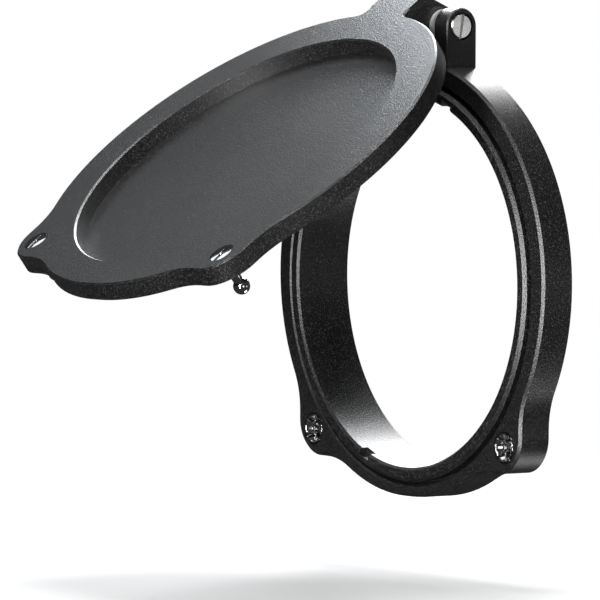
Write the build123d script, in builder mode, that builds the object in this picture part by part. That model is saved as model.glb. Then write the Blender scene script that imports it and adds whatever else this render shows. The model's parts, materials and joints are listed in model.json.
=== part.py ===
from build123d import *
import os
from math import asin, cos, degrees, hypot, radians, sin

# Flip-up cover for the front end of a scope or a small telescope.
#
# A threaded mount ring clamps a round ring body to the front of the tube. A lid of the
# same outline hangs from a screw hinge on top of the ring body. Two ball studs in the
# lower ears of the lid snap into split sockets in the lower ears of the ring body.
#
# Frame: the Y axis is the optical axis, and the front is towards -Y. +Z is up, with the
# hinge at the top. The origin is on the axis, in the seat plane where the rear face of
# the ring body meets the tube. "Forward" below is a distance from the seat along -Y.

# Mount ring
thread_radius = 29.0
thread_depth = 0.46
thread_pitch = 0.75
thread_crest = 0.2
thread_relief = 0.4
spigot_wall = 0.9
spigot_length = 3.3
lip_overlap = 1.2
lip_thickness = 2.4
lip_proud = 0.6
lip_inner_chamfer = 0.35
lip_outer_chamfer = 0.5
spanner_notch_width = 2.4
spanner_notch_reach = 1.0
spanner_notch_depth = 1.4
spanner_notch_angle = -21.0

# Ring body and the outline that it shares with the lid
body_wall = 2.2
body_stretch = 1.0
body_rise = 0.5
body_depth = 5.5
edge_chamfer = 0.4
rear_chamfer = 0.2
pocket_chamfer = 0.3
ear_blend_radius = 12.0
running_clearance = 0.08
pocket_gap = 0.6

# Slip washer and tube seal
slip_washer_thickness = 0.3
slip_washer_float = 0.1
slip_washer_rim_gap = 0.1
seal_land = 1.02
seal_section_radius = 0.5
seal_stands_out = 0.15
seal_side_gap = 0.05

# Hinge
hinge_stand = 5.1
knuckle_half_width = 5.0
knuckle_foot_drop = 3.4
hinge_float = 0.1
clevis_ear_width = 3.15
clevis_base_fillet = 0.6
clevis_edge_chamfer = 0.2
screw_radius = 1.0
screw_head_radius = 1.9
screw_head_height = 1.2
screw_head_gap = 0.2
screw_slot_width = 0.45
screw_slot_depth = 0.6
screw_slot_tilt = -9.0
screw_hole_gap = 0.05
nut_slot_width = 0.6
nut_slot_depth = 0.5
bush_wall = 0.6
bush_clearance = 0.03
bush_inset = 1.0
washer_inset = 0.2
washer_bore_gap = 0.1
thrust_washer_thickness = 0.75
disc_spring_thickness = 0.3
disc_spring_height = 0.75

# Lid
open_angle = 53.5
lid_gap = 0.2
lid_thickness = 3.0
lid_edge_chamfer = 0.25
tongue_blend_radius = 1.5
recess_wall = 0.3
recess_floor = 1.3
recess_rim_chamfer = 0.25
recess_floor_fillet = 0.5
plug_clearance = 0.7
plug_height = 0.9
plug_chamfer = 0.3
gasket_thickness = 0.9
gasket_gap = 0.15
lip_room = 0.35

# Ball studs and snap sockets
ball_radius = 1.25
ball_floor_gap = 0.2
stud_neck_radius = 0.75
stud_shank_radius = 1.0
stud_head_radius = 1.85
stud_head_height = 0.8
stud_head_gap = 0.1
stud_slot_width = 0.5
stud_slot_depth = 0.5
stud_slot_tilt = 11.0
socket_floor = 0.6
socket_base_thickness = 0.6
socket_wall = 0.79
latch_angle = 46.0
ear_wall = 1.5
ear_corner_radius = 5.5
finger_wall = 0.9
finger_room = 0.35
finger_cavity_gap = 0.15
finger_throat_gap = 0.08
finger_mouth_wall = 0.15
finger_slot_width = 0.5
finger_slot_angles = (45.0, -45.0)
throat_ahead = 0.35
throat_length = 0.4
spring_wire_radius = 0.2
spring_groove_depth = 0.15
spring_behind_throat = 0.55
spring_arc = 325.0

# Sizes and places that follow from the ones above
seat = Plane.XZ
body_front = seat.offset(body_depth)
clear_bore_radius = thread_radius - spigot_wall
shoulder_bore_radius = thread_radius + running_clearance
lip_radius = thread_radius + lip_overlap
lip_front = body_depth + lip_proud
lip_rear = lip_front - lip_thickness
pocket_floor = lip_rear - slip_washer_thickness - slip_washer_float
pocket_radius = lip_radius + pocket_gap
body_radius = pocket_radius + body_wall
seal_ring_radius = shoulder_bore_radius + seal_land + seal_section_radius
lid_back = body_depth + lid_gap
lid_front = lid_back + lid_thickness
recess_depth = lid_thickness + plug_height - recess_floor
plug_radius = clear_bore_radius - plug_clearance
recess_radius = plug_radius - recess_wall
lip_groove_inner = clear_bore_radius - lip_room
lip_groove_outer = lip_radius + lip_room
lip_groove_top = lip_front + gasket_gap + gasket_thickness
hinge_forward = body_depth / 2
hinge_height = body_rise + body_radius + hinge_stand
knuckle_radius = lid_back - hinge_forward
knuckle_foot_height = hinge_height - knuckle_foot_drop
clevis_inner = knuckle_half_width + thrust_washer_thickness + disc_spring_height + hinge_float
clevis_outer = clevis_inner + clevis_ear_width
bush_radius = screw_radius + bush_wall
bush_length = knuckle_half_width - bush_inset
washer_radius = hinge_forward - washer_inset
washer_bore_radius = screw_radius + washer_bore_gap
disc_spring_inner = clevis_inner - disc_spring_height
finger_radius = ball_radius + finger_wall
socket_radius = finger_radius + finger_room
socket_depth = body_depth - socket_floor
socket_inside = socket_floor + socket_base_thickness
ball_height = socket_inside + ball_floor_gap + ball_radius
throat_front = ball_height + ball_radius + throat_ahead
latch_circle_radius = pocket_radius + socket_radius + socket_wall
latch_x = latch_circle_radius * sin(radians(latch_angle))
latch_drop = latch_circle_radius * cos(radians(latch_angle))
latch_places = ((latch_x, -latch_drop), (-latch_x, -latch_drop))
ear_reach = socket_radius + ear_wall
sides = {"right": 1, "left": -1}
hinge_side = Plane.YZ
hinge_point = (-hinge_forward, hinge_height)

# Slots are drawn this many times as long as what they cross, and points within this
# distance of each other count as one.
slot_overrun = 1.5
same_place = 1e-4

# The lid is drawn closed and swung open about the hinge pin by its plane.
hinge_pin = Location((0, -hinge_forward, hinge_height))
swing = hinge_pin * Location((0, 0, 0), (-open_angle, 0, 0)) * hinge_pin.inverse()
lid_seat = Plane(swing * seat.location)
lid_side = Plane(lid_seat.origin, x_dir=lid_seat.z_dir, z_dir=-lid_seat.x_dir)
lid_axis = Axis(lid_seat.origin, lid_seat.z_dir)

os.makedirs("parts", exist_ok=True)


def save(builder, name):
    builder.part.label = name
    export_step(builder.part, f"parts/{name}.step")


def draw_outline():
    """The outline of ring body and lid: a slightly wide disc with two rounded ears at the bottom."""
    ear_half_width = latch_x + ear_reach
    ear_bottom = latch_drop + ear_reach
    ear_block_height = 2 * ear_corner_radius + latch_drop / 2
    with Locations((0, body_rise)):
        SlotCenterToCenter(2 * body_stretch, 2 * body_radius)
    with Locations((0, ear_block_height / 2 - ear_bottom)):
        RectangleRounded(2 * ear_half_width, ear_block_height, ear_corner_radius)
    joins = [
        corner
        for corner in vertices()
        if corner.Y < -ear_corner_radius
        and abs(corner.X) > body_stretch + same_place
        and abs(hypot(abs(corner.X) - body_stretch, corner.Y - body_rise) - body_radius) < same_place
    ]
    fillet(joins, ear_blend_radius)


def hinge_disc(start, length, radius, mode=Mode.ADD):
    """A disc on the hinge pin's line, from X = start towards +X."""
    with BuildSketch(hinge_side.offset(start)) as disc:
        with Locations(hinge_point):
            Circle(radius)
    extrude(disc.sketch, amount=length, mode=mode)


def circles_of(radius):
    """The round edges of this radius on the part being built."""
    return edges().filter_by(GeomType.CIRCLE).filter_by(lambda edge: abs(edge.radius - radius) < same_place)


# Mount ring: bore, front lip, plain land and thread, turned about the optical axis.
thread_turns = int((spigot_length - thread_relief) / thread_pitch)
thread_points = []
for turn in range(thread_turns):
    crest_middle = thread_relief + (turn + 0.5) * thread_pitch
    thread_points.append((thread_radius, crest_middle - thread_crest / 2))
    thread_points.append((thread_radius, crest_middle + thread_crest / 2))
    thread_points.append((thread_radius - thread_depth, crest_middle + thread_pitch / 2))
with BuildPart() as mount_ring:
    with BuildSketch(Plane.XY):
        with BuildLine():
            Polyline(
                (clear_bore_radius, -lip_front + lip_inner_chamfer),
                (clear_bore_radius + lip_inner_chamfer, -lip_front),
                (lip_radius - lip_outer_chamfer, -lip_front),
                (lip_radius, -lip_front + lip_outer_chamfer),
                (lip_radius, -lip_rear),
                (thread_radius, -lip_rear),
                (thread_radius, 0),
                (thread_radius - thread_depth, thread_depth / 2),
                (thread_radius - thread_depth, thread_relief),
                *thread_points,
                (thread_radius - thread_depth, spigot_length),
                (clear_bore_radius, spigot_length),
                close=True,
            )
        make_face()
    revolve(axis=Axis.Y)
    with BuildSketch(seat.offset(lip_front)):
        Rectangle(
            spanner_notch_width,
            2 * (clear_bore_radius + spanner_notch_reach),
            rotation=spanner_notch_angle,
        )
    extrude(amount=-spanner_notch_depth, mode=Mode.SUBTRACT)
save(mount_ring, "mount_ring")

# Slip washer behind the lip, on which the ring body turns until the ring is tight.
with BuildPart() as slip_washer:
    with BuildSketch(seat.offset(lip_rear)):
        Circle(lip_radius)
        Circle(thread_radius + slip_washer_rim_gap, mode=Mode.SUBTRACT)
    extrude(amount=-slip_washer_thickness)
save(slip_washer, "slip_washer")

# Ring body with the hinge clevis and the two latch ears.
with BuildPart() as ring_body:
    with BuildSketch(seat):
        draw_outline()
    extrude(amount=body_depth)
    chamfer(faces().sort_by(Axis.Y)[0].edges(), edge_chamfer)
    chamfer(faces().sort_by(Axis.Y)[-1].edges(), rear_chamfer)
    for ear_start in (clevis_inner, -clevis_outer):
        with BuildSketch(hinge_side.offset(ear_start)):
            with Locations(hinge_point):
                Circle(hinge_forward)
                Rectangle(body_depth, hinge_height - lip_radius, align=(Align.CENTER, Align.MAX))
        extrude(amount=clevis_ear_width)
    clevis_roots = [
        edge
        for edge in edges().filter_by(Axis.Y)
        if clevis_inner - same_place < abs(edge.center().X) < clevis_outer + same_place
        and edge.center().Z > 0
    ]
    fillet(clevis_roots, clevis_base_fillet)
    clevis_rims = [
        edge
        for side in faces().filter_by(Axis.X)
        if abs(abs(side.center().X) - clevis_outer) < same_place
        for edge in side.edges()
        if edge.center().Z > body_radius + body_rise
    ]
    chamfer(clevis_rims, clevis_edge_chamfer)
    with Locations(body_front):
        CounterBoreHole(
            radius=shoulder_bore_radius,
            counter_bore_radius=pocket_radius,
            counter_bore_depth=body_depth - pocket_floor,
        )
    chamfer(circles_of(pocket_radius).sort_by(Axis.Y)[0], pocket_chamfer)
    with BuildSketch(body_front):
        with Locations(*latch_places):
            Circle(socket_radius)
    extrude(amount=-socket_depth, mode=Mode.SUBTRACT)
    with BuildSketch(seat):
        Circle(seal_ring_radius + seal_section_radius + seal_side_gap)
        Circle(seal_ring_radius - seal_section_radius - seal_side_gap, mode=Mode.SUBTRACT)
    extrude(amount=2 * seal_section_radius - seal_stands_out, mode=Mode.SUBTRACT)
    hinge_disc(-clevis_outer, 2 * clevis_outer, screw_radius + screw_hole_gap, Mode.SUBTRACT)
    hinge_disc(
        clevis_outer - screw_head_height,
        screw_head_height,
        screw_head_radius + screw_head_gap,
        Mode.SUBTRACT,
    )
    hinge_disc(-clevis_outer, screw_head_height, screw_head_radius + screw_head_gap, Mode.SUBTRACT)
save(ring_body, "ring_body")

# Rubber ring in the rear face that seals against the tube.
with BuildPart() as tube_seal:
    with BuildSketch(Plane.XY):
        with Locations((seal_ring_radius, seal_stands_out - seal_section_radius)):
            Circle(seal_section_radius)
    revolve(axis=Axis.Y)
save(tube_seal, "tube_seal")

# Hinge screw: slotted head in the right ear, shank through to the left ear.
with BuildPart() as hinge_screw:
    hinge_disc(clevis_outer - screw_head_height, screw_head_height, screw_head_radius)
    chamfer(edges().sort_by(Axis.X)[-1], clevis_edge_chamfer)
    with BuildSketch(hinge_side.offset(clevis_outer)):
        with Locations(hinge_point):
            Rectangle(screw_slot_width, 2 * slot_overrun * screw_head_radius, rotation=screw_slot_tilt)
    extrude(amount=-screw_slot_depth, mode=Mode.SUBTRACT)
    hinge_disc(-clevis_outer, 2 * clevis_outer - screw_head_height, screw_radius)
save(hinge_screw, "hinge_screw")

# Slotted round nut of the head's size on the shank, sunk in the left ear.
with BuildPart() as hinge_nut:
    hinge_disc(-clevis_outer, screw_head_height, screw_head_radius)
    hinge_disc(-clevis_outer, screw_head_height, screw_radius, Mode.SUBTRACT)
    with BuildSketch(hinge_side.offset(-clevis_outer)):
        with Locations(hinge_point):
            Rectangle(nut_slot_width, 2 * slot_overrun * screw_head_radius)
    extrude(amount=nut_slot_depth, mode=Mode.SUBTRACT)
save(hinge_nut, "hinge_nut")

# Bushes in the knuckle, thrust washers on its ends, disc springs against the ears.
for name, side in sides.items():
    bush_start = knuckle_half_width - bush_length if side > 0 else -knuckle_half_width
    with BuildPart() as knuckle_bush:
        hinge_disc(bush_start, bush_length, bush_radius)
        hinge_disc(bush_start, bush_length, screw_radius + bush_clearance, Mode.SUBTRACT)
    save(knuckle_bush, f"knuckle_bush_{name}")

    washer_start = min(side * knuckle_half_width, side * (knuckle_half_width + thrust_washer_thickness))
    with BuildPart() as thrust_washer:
        hinge_disc(washer_start, thrust_washer_thickness, washer_radius)
        hinge_disc(washer_start, thrust_washer_thickness, washer_bore_radius, Mode.SUBTRACT)
    save(thrust_washer, f"thrust_washer_{name}")

    with BuildPart() as disc_spring:
        with BuildSketch(Plane((0, -hinge_forward, hinge_height), x_dir=(side, 0, 0), z_dir=(0, -side, 0))):
            with BuildLine():
                Polyline(
                    (disc_spring_inner, washer_bore_radius),
                    (disc_spring_inner + disc_spring_thickness, washer_bore_radius),
                    (clevis_inner, washer_radius),
                    (clevis_inner - disc_spring_thickness, washer_radius),
                    close=True,
                )
            make_face()
        revolve(axis=Axis((0, -hinge_forward, hinge_height), (1, 0, 0)))
    save(disc_spring, f"disc_spring_{name}")

# Lid: plate with tongue, knuckle, plug, sunk face and a groove that takes the lip.
with BuildPart() as lid_plate:
    with BuildSketch(lid_seat.offset(lid_back)):
        draw_outline()
        with Locations((0, knuckle_foot_height)):
            Rectangle(2 * knuckle_half_width, 2 * (hinge_height - knuckle_foot_height))
        tongue_corners = [
            corner
            for corner in vertices()
            if abs(abs(corner.X) - knuckle_half_width) < same_place and corner.Y < knuckle_foot_height
        ]
        fillet(tongue_corners, tongue_blend_radius)
    extrude(amount=lid_thickness)
    chamfer(faces().sort_by(lid_axis)[-1].edges(), lid_edge_chamfer)
    with BuildSketch(lid_side):
        with Locations((hinge_forward, hinge_height)):
            Circle(knuckle_radius)
        with Locations((lid_back, hinge_height)):
            Rectangle(
                lid_thickness,
                hinge_height - knuckle_foot_height,
                align=(Align.MIN, Align.MAX),
            )
        make_hull()
    extrude(amount=knuckle_half_width, both=True)
    with BuildSketch(lid_seat.offset(lid_back)):
        Circle(plug_radius)
    extrude(amount=-plug_height)
    chamfer(circles_of(plug_radius).sort_by(lid_axis)[0], plug_chamfer)
    with BuildSketch(lid_seat.offset(lid_front)):
        Circle(recess_radius)
    extrude(amount=-recess_depth, mode=Mode.SUBTRACT)
    fillet(circles_of(recess_radius).sort_by(lid_axis)[0], recess_floor_fillet)
    chamfer(circles_of(recess_radius).sort_by(lid_axis)[-1], recess_rim_chamfer)
    with BuildSketch(lid_seat.offset(lid_back)):
        Circle(lip_groove_outer)
        Circle(lip_groove_inner, mode=Mode.SUBTRACT)
    extrude(amount=lip_groove_top - lid_back, mode=Mode.SUBTRACT)
    with BuildSketch(lid_seat.offset(lid_back)):
        with Locations(*latch_places):
            Circle(stud_shank_radius)
    extrude(amount=lid_thickness, mode=Mode.SUBTRACT)
    with BuildSketch(lid_seat.offset(lid_front)):
        with Locations(*latch_places):
            Circle(stud_head_radius + stud_head_gap)
    extrude(amount=-stud_head_height, mode=Mode.SUBTRACT)
    with BuildSketch(lid_side.offset(-knuckle_half_width)):
        with Locations((hinge_forward, hinge_height)):
            Circle(bush_radius)
    extrude(amount=2 * knuckle_half_width, mode=Mode.SUBTRACT)
save(lid_plate, "lid_plate")

# Flat rubber gasket at the bottom of the groove, over the lip of the mount ring.
with BuildPart() as lid_gasket:
    with BuildSketch(lid_seat.offset(lip_groove_top)):
        Circle(lip_groove_outer)
        Circle(lip_groove_inner, mode=Mode.SUBTRACT)
    extrude(amount=-gasket_thickness)
save(lid_gasket, "lid_gasket")

for name, side in sides.items():
    # Ball stud: slotted head flush with the lid's face, ball behind the lid.
    neck_angle = degrees(asin(stud_neck_radius / ball_radius))
    stud_foot = lid_seat.from_local_coords((side * latch_x, -latch_drop, 0))
    stud_section = Plane(stud_foot, x_dir=lid_seat.x_dir, z_dir=-lid_seat.y_dir)
    with BuildPart() as stud:
        with BuildSketch(stud_section):
            with BuildLine():
                ball = CenterArc((0, ball_height), ball_radius, -90, 180 - neck_angle)
                Polyline(
                    ball @ 1,
                    (stud_neck_radius, lid_back),
                    (stud_shank_radius, lid_back),
                    (stud_shank_radius, lid_front - stud_head_height),
                    (stud_head_radius, lid_front - stud_head_height),
                    (stud_head_radius, lid_front),
                    (0, lid_front),
                    ball @ 0,
                )
            make_face()
        revolve(axis=Axis(stud_foot, lid_seat.z_dir))
        with BuildSketch(lid_seat.offset(lid_front)):
            with Locations((side * latch_x, -latch_drop)):
                Rectangle(
                    stud_slot_width,
                    2 * slot_overrun * stud_head_radius,
                    rotation=stud_slot_tilt,
                )
        extrude(amount=-stud_slot_depth, mode=Mode.SUBTRACT)
    save(stud, f"ball_stud_{name}")

    # Split socket: base at the bottom of its hole, four fingers up to the front face.
    cavity_radius = ball_radius + finger_cavity_gap
    throat_radius = ball_radius + finger_throat_gap
    spring_height = throat_front - spring_behind_throat
    socket_section = Plane((side * latch_x, 0, -latch_drop), x_dir=(1, 0, 0), z_dir=(0, 0, -1))
    with BuildPart() as socket:
        with BuildSketch(socket_section):
            with BuildLine():
                Polyline(
                    (0, socket_floor),
                    (socket_radius, socket_floor),
                    (socket_radius, socket_inside),
                    (finger_radius, socket_inside),
                    (finger_radius, spring_height - spring_wire_radius),
                    (finger_radius - spring_groove_depth, spring_height - spring_wire_radius),
                    (finger_radius - spring_groove_depth, spring_height + spring_wire_radius),
                    (finger_radius, spring_height + spring_wire_radius),
                    (finger_radius, body_depth),
                    (finger_radius - finger_mouth_wall, body_depth),
                    (throat_radius, throat_front),
                    (throat_radius, throat_front - throat_length),
                    (cavity_radius, throat_front - 2 * throat_length),
                    (cavity_radius, socket_inside),
                    (0, socket_inside),
                    close=True,
                )
            make_face()
        revolve(axis=Axis((side * latch_x, 0, -latch_drop), (0, -1, 0)))
        with BuildSketch(body_front):
            with Locations((side * latch_x, -latch_drop)):
                for angle in finger_slot_angles:
                    Rectangle(finger_slot_width, 2 * slot_overrun * socket_radius, rotation=angle)
        extrude(amount=socket_inside - body_depth, mode=Mode.SUBTRACT)
    save(socket, f"snap_socket_{name}")

    # Open wire ring that holds the fingers together.
    with BuildPart() as socket_spring:
        with BuildSketch(socket_section):
            with Locations((finger_radius - spring_groove_depth + spring_wire_radius, spring_height)):
                Circle(spring_wire_radius)
        revolve(axis=Axis((side * latch_x, 0, -latch_drop), (0, -1, 0)), revolution_arc=spring_arc)
    save(socket_spring, f"socket_spring_{name}")
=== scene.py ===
import json
import math

import bpy
from mathutils import Matrix, Vector


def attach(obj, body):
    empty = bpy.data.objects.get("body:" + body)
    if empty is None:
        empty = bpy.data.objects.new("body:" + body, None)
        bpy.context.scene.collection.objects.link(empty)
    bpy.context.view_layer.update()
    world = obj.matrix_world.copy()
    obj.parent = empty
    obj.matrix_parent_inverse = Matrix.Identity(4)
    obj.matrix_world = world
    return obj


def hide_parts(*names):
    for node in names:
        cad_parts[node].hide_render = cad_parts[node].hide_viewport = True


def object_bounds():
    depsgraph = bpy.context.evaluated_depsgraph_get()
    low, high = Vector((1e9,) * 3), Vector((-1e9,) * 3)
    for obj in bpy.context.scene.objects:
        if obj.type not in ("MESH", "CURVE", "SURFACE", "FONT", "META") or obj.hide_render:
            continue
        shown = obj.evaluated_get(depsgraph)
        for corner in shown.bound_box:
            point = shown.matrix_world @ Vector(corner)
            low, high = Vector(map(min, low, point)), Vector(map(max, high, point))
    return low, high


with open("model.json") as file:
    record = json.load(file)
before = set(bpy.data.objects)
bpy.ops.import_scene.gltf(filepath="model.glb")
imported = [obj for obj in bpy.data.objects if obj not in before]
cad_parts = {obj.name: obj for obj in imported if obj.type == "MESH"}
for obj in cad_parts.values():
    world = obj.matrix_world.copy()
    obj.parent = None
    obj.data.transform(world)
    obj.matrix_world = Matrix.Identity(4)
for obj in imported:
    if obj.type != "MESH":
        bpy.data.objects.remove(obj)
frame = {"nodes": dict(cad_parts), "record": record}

# Flip-up cover in black bead-blasted anodised metal, shown open on a pale floor.
# The frame is the CAD part's: metres, +Y is the optical axis, +Z is up, the hinge on top.

cad_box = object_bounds()
nodes = frame["nodes"]
MM = 0.001
WHITE = (1.0, 1.0, 1.0)
COOL = (0.90, 0.95, 1.0)

# Blasted grain of the anodised metal: noise cells per metre and how deep they dent it
BLAST_SCALE = 4200.0
BLAST_DEPTH = 0.06 * MM
ANODISED_ROUGHNESS = 0.38
# Base colour of the grain: black dye, a faint grey, and the lightest specks, which are
# painted glints standing in for the sparkle
DYE_BLACK = 0.002
DYE_GREY = 0.009
PAINTED_GLINT_GREY = 0.065

# Rounding of the small turned pieces
STUD_ROUNDING = 0.14 * MM
SOCKET_ROUNDING = 0.04 * MM
ROUNDING_STEPS = 3
SHARP_FROM = math.radians(35.0)
SMOOTH_UP_TO = math.radians(30.0)
SAME_POINT = 0.002 * MM
SAME_PLANE = math.radians(1.0)

# Floor, room and the point that the lights face
FLOOR_RADIUS = 0.26
FLOOR_DROP = 12.5 * MM
FLOOR_GREY = 0.55
FLOOR_GLOW = 0.22
ROOM_BRIGHTNESS = 0.03
MIDDLE = Vector((0, -0.02, 0.005))
WATTS_PER_AREA = 4

# Camera: its direction, its lens, and its place in steps of CAMERA_STEP from AIM_POINT
CAMERA_AZIMUTH = math.radians(55.0)
CAMERA_ELEVATION = math.radians(2.85)
CAMERA_ROLL = math.radians(0.25)
CAMERA_LENS = 420.0
SENSOR_WIDTH = 36.0
CAMERA_STEP = 32.2 * MM
STEPS_LEFT = 0.5117
STEPS_DOWN = 0.0866
STEPS_BACK = 32.819
AIM_POINT = Vector((0, -5.2 * MM, 0))


def make_material(name):
    """A new material, its node tree and its shader."""
    material = bpy.data.materials.new(name)
    material.use_nodes = True
    tree = material.node_tree
    return material, tree, tree.nodes["Principled BSDF"]


def add_node(tree, kind, values=None, **settings):
    """A node with its settings and the values of its inputs."""
    node = tree.nodes.new(kind)
    for key, value in settings.items():
        setattr(node, key, value)
    for key, value in (values or {}).items():
        node.inputs[key].default_value = value
    return node


def add_noise(tree, **values):
    """Noise on the piece's own coordinates, which stays on it as it moves."""
    place = add_node(tree, "ShaderNodeTexCoord")
    noise = add_node(tree, "ShaderNodeTexNoise", values)
    tree.links.new(place.outputs["Object"], noise.inputs["Vector"])
    return noise


def add_ramp(tree, source, stops):
    """A colour ramp fed by source, with (place, colour) stops."""
    ramp = tree.nodes.new("ShaderNodeValToRGB")
    elements = ramp.color_ramp.elements
    while len(elements) < len(stops):
        elements.new(0.5)
    for element, (place, color) in zip(elements, stops):
        element.position = place
        element.color = (*color, 1.0)
    tree.links.new(source, ramp.inputs["Fac"])
    return ramp


def add_dents(tree, shader, noise, strength, depth):
    """Fine relief on the surface from a noise."""
    bump = add_node(tree, "ShaderNodeBump", {"Strength": strength, "Distance": depth})
    tree.links.new(noise.outputs["Fac"], bump.inputs["Height"])
    tree.links.new(bump.outputs["Normal"], shader.inputs["Normal"])


def vary_roughness(tree, shader, noise, low, high):
    """Roughness that follows a noise from low to high."""
    span = add_node(tree, "ShaderNodeMapRange", {"To Min": low, "To Max": high})
    tree.links.new(noise.outputs["Fac"], span.inputs["Value"])
    tree.links.new(span.outputs["Result"], shader.inputs["Roughness"])


def grey(value):
    return (value, value, value)


def black_anodised(name):
    """Bead-blasted metal, anodised black: a fine grain over a satin base, whose lightest
    specks are painted glints in the base colour.
    """
    material, tree, shader = make_material(name)
    pits = add_noise(tree, Scale=BLAST_SCALE, Detail=1.5, Roughness=0.6)
    cloud = add_noise(tree, Scale=60.0, Detail=2.0)
    # The grain's tone from black to faint grey is random; its lightest specks are painted
    # glints, light put into the base colour
    dye_and_painted_glints = ((0.44, grey(DYE_BLACK)), (0.57, grey(DYE_GREY)), (0.70, grey(PAINTED_GLINT_GREY)))
    speckle_with_painted_glints = add_ramp(tree, pits.outputs["Fac"], dye_and_painted_glints)
    tree.links.new(speckle_with_painted_glints.outputs["Color"], shader.inputs["Base Color"])
    vary_roughness(tree, shader, cloud, ANODISED_ROUGHNESS - 0.05, ANODISED_ROUGHNESS + 0.08)
    add_dents(tree, shader, pits, 1.0, BLAST_DEPTH)
    shader.inputs["Specular IOR Level"].default_value = 0.8
    return material


def bright_metal(name, color, roughness, scratches):
    """Polished metal with faint turning marks."""
    material, tree, shader = make_material(name)
    marks = add_noise(tree, Scale=900.0, Detail=4.0)
    vary_roughness(tree, shader, marks, roughness * 0.7, roughness * 1.4)
    add_dents(tree, shader, marks, scratches, 0.02 * MM)
    shader.inputs["Base Color"].default_value = (*color, 1.0)
    shader.inputs["Metallic"].default_value = 1.0
    return material


def dull_plastic(name, color, roughness):
    """Plastic or rubber with a faint moulded mottle."""
    material, tree, shader = make_material(name)
    mottle = add_noise(tree, Scale=1500.0, Detail=3.0)
    darker = tuple(0.8 * channel for channel in color)
    lighter = tuple(1.2 * channel for channel in color)
    tint = add_ramp(tree, mottle.outputs["Fac"], ((0.3, darker), (0.7, lighter)))
    tree.links.new(tint.outputs["Color"], shader.inputs["Base Color"])
    add_dents(tree, shader, mottle, 0.2, 0.03 * MM)
    shader.inputs["Roughness"].default_value = roughness
    return material


def round_over(node_name, body, width):
    """A small turned piece with its sharp edges rounded over, in place of the CAD node."""
    bpy.ops.object.select_all(action="DESELECT")
    piece = nodes[node_name].copy()
    piece.data = piece.data.copy()
    piece.parent = None
    piece.name = f"{node_name}_rounded"
    bpy.context.scene.collection.objects.link(piece)
    piece.select_set(True)
    bpy.context.view_layer.objects.active = piece
    bpy.ops.object.mode_set(mode="EDIT")
    bpy.ops.mesh.select_all(action="SELECT")
    bpy.ops.mesh.remove_doubles(threshold=SAME_POINT)
    bpy.ops.mesh.customdata_custom_splitnormals_clear()
    bpy.ops.mesh.dissolve_limited(angle_limit=SAME_PLANE)
    bpy.ops.mesh.normals_make_consistent(inside=False)
    bpy.ops.object.mode_set(mode="OBJECT")
    rounding = piece.modifiers.new("rounding", "BEVEL")
    rounding.width = width
    rounding.segments = ROUNDING_STEPS
    rounding.limit_method = "ANGLE"
    rounding.angle_limit = SHARP_FROM
    rounding.use_clamp_overlap = True
    bpy.ops.object.modifier_apply(modifier=rounding.name)
    bpy.ops.object.shade_smooth_by_angle(angle=SMOOTH_UP_TO)
    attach(piece, body)
    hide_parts(node_name)


def place_camera():
    """A long lens, a little above and well round to the right of the front."""
    back = Vector((
        math.sin(CAMERA_AZIMUTH) * math.cos(CAMERA_ELEVATION),
        -math.cos(CAMERA_AZIMUTH) * math.cos(CAMERA_ELEVATION),
        math.sin(CAMERA_ELEVATION),
    ))
    flat_right = Vector((math.cos(CAMERA_AZIMUTH), math.sin(CAMERA_AZIMUTH), 0.0))
    flat_up = back.cross(flat_right)
    right = flat_right * math.cos(CAMERA_ROLL) + flat_up * math.sin(CAMERA_ROLL)
    up = -flat_right * math.sin(CAMERA_ROLL) + flat_up * math.cos(CAMERA_ROLL)
    steps = back * STEPS_BACK - right * STEPS_LEFT - up * STEPS_DOWN
    turn = Matrix((right, up, back)).transposed().to_4x4()
    data = bpy.data.cameras.new("camera")
    data.sensor_width = SENSOR_WIDTH
    data.lens = CAMERA_LENS
    data.clip_start = 0.01
    data.clip_end = 20.0
    camera = bpy.data.objects.new("camera", data)
    bpy.context.scene.collection.objects.link(camera)
    camera.matrix_world = Matrix.Translation(steps * CAMERA_STEP + AIM_POINT) @ turn
    bpy.context.scene.camera = camera


def pale_floor():
    """A white sheet under the cover that fades out into the white of the room."""
    bpy.ops.object.select_all(action="DESELECT")
    bpy.ops.mesh.primitive_circle_add(
        vertices=96,
        radius=FLOOR_RADIUS,
        fill_type="NGON",
        location=(0, 0, cad_box[0].z - FLOOR_DROP),
    )
    floor = bpy.context.active_object
    floor.name = "floor"
    material, tree, shader = make_material("pale_floor")
    shader.inputs["Base Color"].default_value = (*grey(FLOOR_GREY), 1.0)
    shader.inputs["Roughness"].default_value = 0.9
    shader.inputs["Specular IOR Level"].default_value = 0.0
    shader.inputs["Emission Color"].default_value = (*WHITE, 1.0)
    shader.inputs["Emission Strength"].default_value = FLOOR_GLOW
    place = add_node(tree, "ShaderNodeTexCoord")
    span = add_node(tree, "ShaderNodeMapping", {"Scale": grey(1 / FLOOR_RADIUS)})
    fade = add_node(tree, "ShaderNodeTexGradient", gradient_type="SPHERICAL")
    tree.links.new(place.outputs["Object"], span.inputs["Vector"])
    tree.links.new(span.outputs["Vector"], fade.inputs["Vector"])
    edge = add_ramp(tree, fade.outputs["Fac"], ((0.02, grey(0.0)), (0.5, WHITE)))
    tree.links.new(edge.outputs["Color"], shader.inputs["Alpha"])
    floor.data.materials.append(material)
    floor.visible_diffuse = False
    floor.visible_glossy = False
    floor.visible_shadow = False


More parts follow.
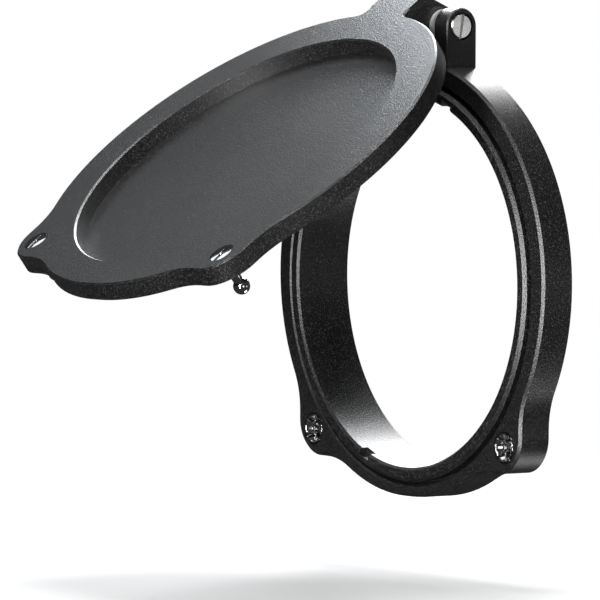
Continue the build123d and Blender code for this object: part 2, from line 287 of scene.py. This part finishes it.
def white_room():
    """White behind everything, while surfaces mirror a dim room."""
    world = bpy.data.worlds.new("studio")
    bpy.context.scene.world = world
    world.use_nodes = True
    tree = world.node_tree
    dim = tree.nodes["Background"]
    dim.inputs["Color"].default_value = (*WHITE, 1.0)
    dim.inputs["Strength"].default_value = ROOM_BRIGHTNESS
    white = add_node(tree, "ShaderNodeBackground", {"Color": (*WHITE, 1.0), "Strength": 1.0})
    seen = add_node(tree, "ShaderNodeLightPath")
    mix = add_node(tree, "ShaderNodeMixShader")
    tree.links.new(seen.outputs["Is Camera Ray"], mix.inputs["Fac"])
    tree.links.new(dim.outputs["Background"], mix.inputs[1])
    tree.links.new(white.outputs["Background"], mix.inputs[2])
    tree.links.new(mix.outputs["Shader"], tree.nodes["World Output"].inputs["Surface"])


def soft_light(name, direction, distance, size, brightness, color=WHITE):
    """A rectangular soft box that stands off in a direction and faces the cover."""
    data = bpy.data.lights.new(name, "AREA")
    data.shape = "RECTANGLE"
    data.color = color
    data.size, data.size_y = size
    data.energy = brightness * WATTS_PER_AREA * size[0] * size[1]
    light = bpy.data.objects.new(name, data)
    bpy.context.scene.collection.objects.link(light)
    away = Vector(direction).normalized()
    light.location = MIDDLE + away * distance
    light.rotation_euler = (-away).to_track_quat("-Z", "Y").to_euler()
    light.visible_camera = False


# Finishes, one for each material slot
finishes = {
    "black_anodised": black_anodised("black_anodised"),
    "chrome": bright_metal("chrome", (0.90, 0.90, 0.91), 0.09, 0.05),
    "steel": bright_metal("steel", (0.72, 0.72, 0.71), 0.2, 0.08),
    "bronze": bright_metal("bronze", (0.55, 0.38, 0.19), 0.4, 0.12),
    "black_rubber": dull_plastic("black_rubber", grey(0.012), 0.75),
    "grey_plastic": dull_plastic("grey_plastic", (0.35, 0.35, 0.34), 0.5),
}
slot_of = {part["node"]: part["material_slot"] for part in frame["record"]["subparts"]}
for name, node in nodes.items():
    for material_slot in node.material_slots:
        material_slot.material = finishes[slot_of[name]]

for side in ("left", "right"):
    round_over(f"ball_stud_{side}", "lid", STUD_ROUNDING)
    round_over(f"snap_socket_{side}", "ring", SOCKET_ROUNDING)

# Studio: name, direction, distance, size and brightness of each light
place_camera()
pale_floor()
white_room()
soft_light("back_left_box", (-0.64, 0.60, 0.48), 0.5, (0.22, 0.22), 14.0)
soft_light("lid_sheet", (-0.66, -0.20, 0.72), 0.5, (0.22, 0.22), 0.95, COOL)
soft_light("hinge_lamp", (-0.575, 0.43, 0.695), 0.174, (0.07, 0.07), 9.5, COOL)
soft_light("top_box", (0.0, 0.0, 1.0), 0.5, (0.20, 0.20), 14.0)
soft_light("front_strip", (0.50, -0.86, 0.0), 0.6, (0.10, 0.5), 32.0)
soft_light("front_card", (0.60, -0.62, 0.50), 0.6, (0.30, 0.24), 1.3)
soft_light("socket_card", (0.92, -0.20, -0.05), 0.5, (0.14, 0.14), 1.6)
soft_light("right_card", (0.82, 0.57, -0.05), 0.5, (0.09, 0.11), 1.3)
soft_light("low_fill", (0.2, 0.55, -0.8), 0.4, (0.16, 0.16), 3.0)
bpy.context.scene.view_settings.view_transform = "Standard"
